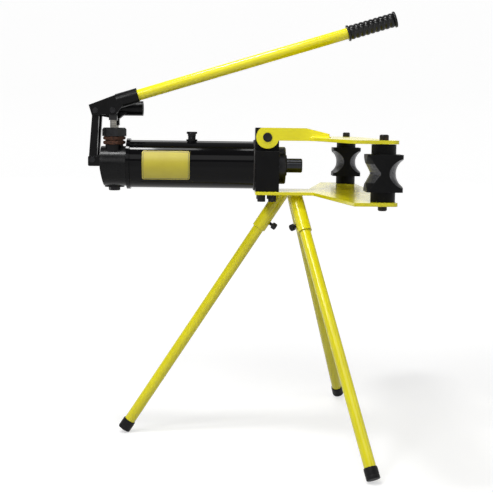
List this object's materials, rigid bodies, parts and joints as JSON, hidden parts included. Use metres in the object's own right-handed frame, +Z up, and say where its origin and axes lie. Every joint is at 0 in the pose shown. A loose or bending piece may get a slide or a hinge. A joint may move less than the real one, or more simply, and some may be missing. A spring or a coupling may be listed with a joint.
{
  "type": "hydraulic pipe bender",
  "caption": "Hand-pumped hydraulic pipe bender on a tripod: long cylinder, twin lever pumps, a hinged two-plate bending frame and grooved pivot rollers.",
  "frame": {"origin": "centre of the object's box, on the floor under the feet", "axes": "+X along the ram towards the bending frame, +Z up, -Y towards the pump lever with the handle"},
  "size_m": [0.6798, 0.766, 0.9587],
  "materials": {
    "black_gloss_paint": "gloss",
    "black_cast": "satin",
    "yellow_paint": "gloss",
    "rusty_fitting": "rusty",
    "black_steel": "black oxide",
    "oiled_steel": "oiled",
    "bright_steel": "ground",
    "black_rubber": "satin"
  },
  "bodies": {
    "machine": {"reservoir_tube": "black_gloss_paint", "rear_cap": "black_gloss_paint", "pressure_cylinder": "bright_steel", "pump_block": "black_cast", "link_bracket": "black_cast", "bracket_pin": "black_steel", "near_pump_fitting": "rusty_fitting", "far_pump_fitting": "rusty_fitting", "near_gland_nut": "black_steel", "far_gland_nut": "black_steel", "bottom_valve_plug": "black_steel", "filler_boss": "black_gloss_paint", "head_block": "black_cast", "gland_ring": "black_cast", "rod_wiper": "black_rubber", "return_spring": "bright_steel", "hinge_pin": "black_steel", "lower_plate": "yellow_paint", "base_bolts": "black_steel", "rear_leg_socket": "yellow_paint", "near_leg_socket": "yellow_paint", "far_leg_socket": "yellow_paint"},
    "ram": {"ram_rod": "oiled_steel", "piston": "bright_steel", "piston_seal": "black_rubber"},
    "yoke": {"upper_plate": "yellow_paint", "near_lug_arm": "yellow_paint", "far_lug_arm": "yellow_paint"},
    "near_roller": {"near_roller": "black_cast", "near_roller_pin": "black_steel"},
    "far_roller": {"far_roller": "black_cast", "far_roller_pin": "black_steel"},
    "near_link": {"near_link": "black_cast"},
    "far_link": {"far_link": "black_cast"},
    "near_lever": {"near_lever": "black_cast", "near_link_pin": "black_steel", "near_plunger_pin": "black_steel"},
    "far_lever": {"far_lever": "black_cast", "far_link_pin": "black_steel", "far_plunger_pin": "black_steel"},
    "near_plunger": {"near_plunger": "bright_steel"},
    "far_plunger": {"far_plunger": "bright_steel"},
    "handle": {"handle_tube": "yellow_paint", "handle_grip": "black_rubber"},
    "filler_plug": {"filler_plug": "black_gloss_paint"},
    "release_valve": {"release_valve": "black_steel"},
    "rear_leg": {"rear_leg": "yellow_paint", "rear_foot": "black_rubber"},
    "near_leg": {"near_leg": "yellow_paint", "near_foot": "black_rubber"},
    "far_leg": {"far_leg": "yellow_paint", "far_foot": "black_rubber"},
    "rear_thumb_screw": {"rear_thumb_screw": "black_steel"},
    "near_thumb_screw": {"near_thumb_screw": "black_steel"},
    "far_thumb_screw": {"far_thumb_screw": "black_steel"}
  },
  "joints": [
    {"name": "ram_stroke", "type": "slide", "parent": "machine", "child": "ram", "axis": [1, 0, 0], "range_m": [0, 0.17], "stiffness_N_per_m": 600, "springref_m": -0.03, "deforming": ["return_spring"]},
    {"name": "yoke_swing", "type": "hinge", "parent": "machine", "child": "yoke", "pos_m": [0.05556, 0, 0.68], "axis": [0, -1, 0], "range_deg": [0, 50]},
    {"name": "near_roller_spin", "type": "hinge", "parent": "machine", "child": "near_roller", "pos_m": [0.27056, -0.342, 0.617], "axis": [0, 0, 1], "continuous": true},
    {"name": "far_roller_spin", "type": "hinge", "parent": "machine", "child": "far_roller", "pos_m": [0.27056, 0.342, 0.617], "axis": [0, 0, 1], "continuous": true},
    {"name": "near_lever_pump", "type": "hinge", "parent": "near_link", "child": "near_lever", "pos_m": [-0.32342, -0.025, 0.73397], "axis": [0, -1, 0], "range_deg": [0, 45]},
    {"name": "near_link_swing", "type": "hinge", "parent": "machine", "child": "near_link", "pos_m": [-0.33044, -0.025, 0.626], "axis": [0, 1, 0], "range_deg": [0, 4.41]},
    {"name": "near_plunger_slide", "type": "slide", "parent": "machine", "child": "near_plunger", "axis": [0, 0, 1], "range_m": [0, 0.0243]},
    {"name": "far_lever_pump", "type": "hinge", "parent": "far_link", "child": "far_lever", "pos_m": [-0.32211, 0.025, 0.73388], "axis": [0, -1, 0], "range_deg": [0, 45]},
    {"name": "far_link_swing", "type": "hinge", "parent": "machine", "child": "far_link", "pos_m": [-0.33044, 0.025, 0.626], "axis": [0, 1, 0], "range_deg": [0, 0.813]},
    {"name": "far_plunger_slide", "type": "slide", "parent": "machine", "child": "far_plunger", "axis": [0, 0, 1], "range_m": [0, 0.02847]},
    {"name": "handle_pull", "type": "slide", "parent": "near_lever", "child": "handle", "axis": [0.9563, 0, 0.2924], "range_m": [0, 0.045]},
    {"name": "filler_plug_turn", "type": "hinge", "parent": "machine", "child": "filler_plug", "pos_m": [-0.11244, 0, 0.67], "axis": [0, 0, 1], "range_deg": [0, 720]},
    {"name": "release_valve_turn", "type": "hinge", "parent": "machine", "child": "release_valve", "pos_m": [-0.28544, 0.056, 0.612], "axis": [0, 1, 0], "range_deg": [0, 270]},
    {"name": "rear_leg_pull", "type": "slide", "parent": "machine", "child": "rear_leg", "axis": [-0.5446, 0, -0.8387], "range_m": [0, 0.06]},
    {"name": "rear_thumb_screw_turn", "type": "hinge", "parent": "machine", "child": "rear_thumb_screw", "pos_m": [0.05189, 0, 0.49445], "axis": [0.8387, 0, -0.5446], "range_deg": [0, 360]},
    {"name": "near_leg_pull", "type": "slide", "parent": "machine", "child": "near_leg", "axis": [0.2259, -0.4956, -0.8387], "range_m": [0, 0.06]},
    {"name": "near_thumb_screw_turn", "type": "hinge", "parent": "machine", "child": "near_thumb_screw", "pos_m": [0.1346, -0.06719, 0.49445], "axis": [-0.8068, 0.3873, -0.4461], "range_deg": [0, 360]},
    {"name": "far_leg_pull", "type": "slide", "parent": "machine", "child": "far_leg", "axis": [0.2259, 0.4956, -0.8387], "range_m": [0, 0.06]},
    {"name": "far_thumb_screw_turn", "type": "hinge", "parent": "machine", "child": "far_thumb_screw", "pos_m": [0.1346, 0.06719, 0.49445], "axis": [0.237, -0.863, -0.4461], "range_deg": [0, 360]}
  ],
  "couplings": [
    {"joint": "near_link_swing", "follows": "near_lever_pump", "ratio": 0.098046},
    {"joint": "near_plunger_slide", "follows": "near_lever_pump", "m_per_rad": 0.030922},
    {"joint": "far_link_swing", "follows": "far_lever_pump", "ratio": 0.018048},
    {"joint": "far_plunger_slide", "follows": "far_lever_pump", "m_per_rad": 0.036239}
  ]
}
